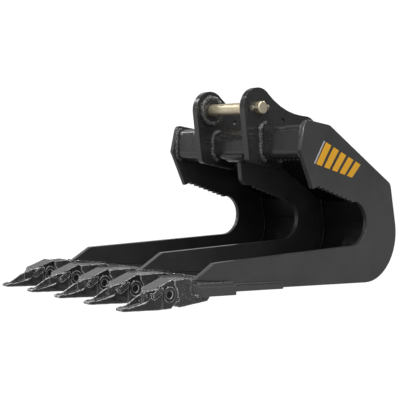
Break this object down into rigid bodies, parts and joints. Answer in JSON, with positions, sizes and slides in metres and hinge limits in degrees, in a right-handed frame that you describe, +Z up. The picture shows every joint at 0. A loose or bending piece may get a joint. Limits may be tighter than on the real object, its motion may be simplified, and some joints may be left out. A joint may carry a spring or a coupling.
{
  "type": "excavator bucket",
  "caption": "Slab-grab excavator bucket: C-shaped side and centre plates with a toothed jaw, curved heel, forged teeth on a thick lip, and hinge ears with pins.",
  "frame": {"origin": "centre of the bounding box, on the ground the bucket's tooth tips and round heel stand on", "axes": "+X across the bucket towards the plate that carries the painted bars, +Y towards the back of the bucket, away from the teeth, +Z up"},
  "size_m": [0.9746, 1.709, 0.9297],
  "materials": {
    "side_plate": "semi-gloss black paint on rolled plate",
    "ear_plate": "semi-gloss black paint on flame-cut plate, chamfered edges",
    "frame_plate": "semi-gloss black paint",
    "shell_plate": "satin black paint, dusty",
    "centre_plate": "satin black paint",
    "lip_plate": "satin black paint",
    "adapter": "black paint on rough steel casting",
    "tooth_tip": "black paint on rough steel casting, bright high spots",
    "pin": "yellow zinc plated",
    "bolt": "dull zinc plated",
    "bush": "hardened steel with black overspray on its face",
    "lock": "satin steel"
  },
  "bodies": {
    "bucket": {"side_plate_left": "side_plate", "side_plate_right": "side_plate", "centre_plate": "centre_plate", "lip_plate": "lip_plate", "floor_plate": "shell_plate", "heel_wrapper": "shell_plate", "back_plate": "shell_plate", "top_plate": "frame_plate", "torque_tube_left": "frame_plate", "torque_tube_middle": "frame_plate", "torque_tube_right": "frame_plate", "tube_saddle": "frame_plate", "lip_bar_left": "lip_plate", "lip_bar_right": "lip_plate", "side_strip_left": "lip_plate", "side_strip_right": "lip_plate", "hinge_ear_left": "ear_plate", "hinge_ear_right": "ear_plate", "front_boss_left": "ear_plate", "front_bush_left": "bush", "front_boss_right": "ear_plate", "front_bush_right": "bush", "rear_boss_left": "ear_plate", "rear_bush_left": "bush", "rear_boss_right": "ear_plate", "rear_bush_right": "bush", "tooth_adapter_1": "adapter", "tooth_tip_1": "tooth_tip", "tooth_adapter_2": "adapter", "tooth_tip_2": "tooth_tip", "tooth_adapter_3": "adapter", "tooth_tip_3": "tooth_tip", "tooth_adapter_4": "adapter", "tooth_tip_4": "tooth_tip", "tooth_adapter_5": "adapter", "tooth_tip_5": "tooth_tip"},
    "front_pin_set": {"front_pin": "pin", "front_pin_bolt_left": "bolt", "front_pin_nut_left": "bolt", "front_pin_bolt_right": "bolt", "front_pin_nut_right": "bolt"},
    "rear_pin_set": {"rear_pin": "pin", "rear_pin_bolt_left": "bolt", "rear_pin_nut_left": "bolt", "rear_pin_bolt_right": "bolt", "rear_pin_nut_right": "bolt"},
    "lock_1": {"tooth_lock_1": "lock"},
    "lock_2": {"tooth_lock_2": "lock"},
    "lock_3": {"tooth_lock_3": "lock"},
    "lock_4": {"tooth_lock_4": "lock"},
    "lock_5": {"tooth_lock_5": "lock"}
  },
  "joints": [
    {"name": "front_pin_spin", "type": "hinge", "parent": "bucket", "child": "front_pin_set", "pos_m": [0, 0.13877, 0.83487], "axis": [1, 0, 0], "continuous": true},
    {"name": "rear_pin_spin", "type": "hinge", "parent": "bucket", "child": "rear_pin_set", "pos_m": [0, 0.47066, 0.71555], "axis": [1, 0, 0], "continuous": true},
    {"name": "lock_1_turn", "type": "hinge", "parent": "bucket", "child": "lock_1", "pos_m": [-0.432, -0.63761, 0.05758], "axis": [1, 0, 0], "range_deg": [0, 90]},
    {"name": "lock_2_turn", "type": "hinge", "parent": "bucket", "child": "lock_2", "pos_m": [-0.216, -0.63761, 0.05758], "axis": [1, 0, 0], "range_deg": [0, 90]},
    {"name": "lock_3_turn", "type": "hinge", "parent": "bucket", "child": "lock_3", "pos_m": [0, -0.63761, 0.05758], "axis": [1, 0, 0], "range_deg": [0, 90]},
    {"name": "lock_4_turn", "type": "hinge", "parent": "bucket", "child": "lock_4", "pos_m": [0.216, -0.63761, 0.05758], "axis": [1, 0, 0], "range_deg": [0, 90]},
    {"name": "lock_5_turn", "type": "hinge", "parent": "bucket", "child": "lock_5", "pos_m": [0.432, -0.63761, 0.05758], "axis": [1, 0, 0], "range_deg": [0, 90]}
  ]
}
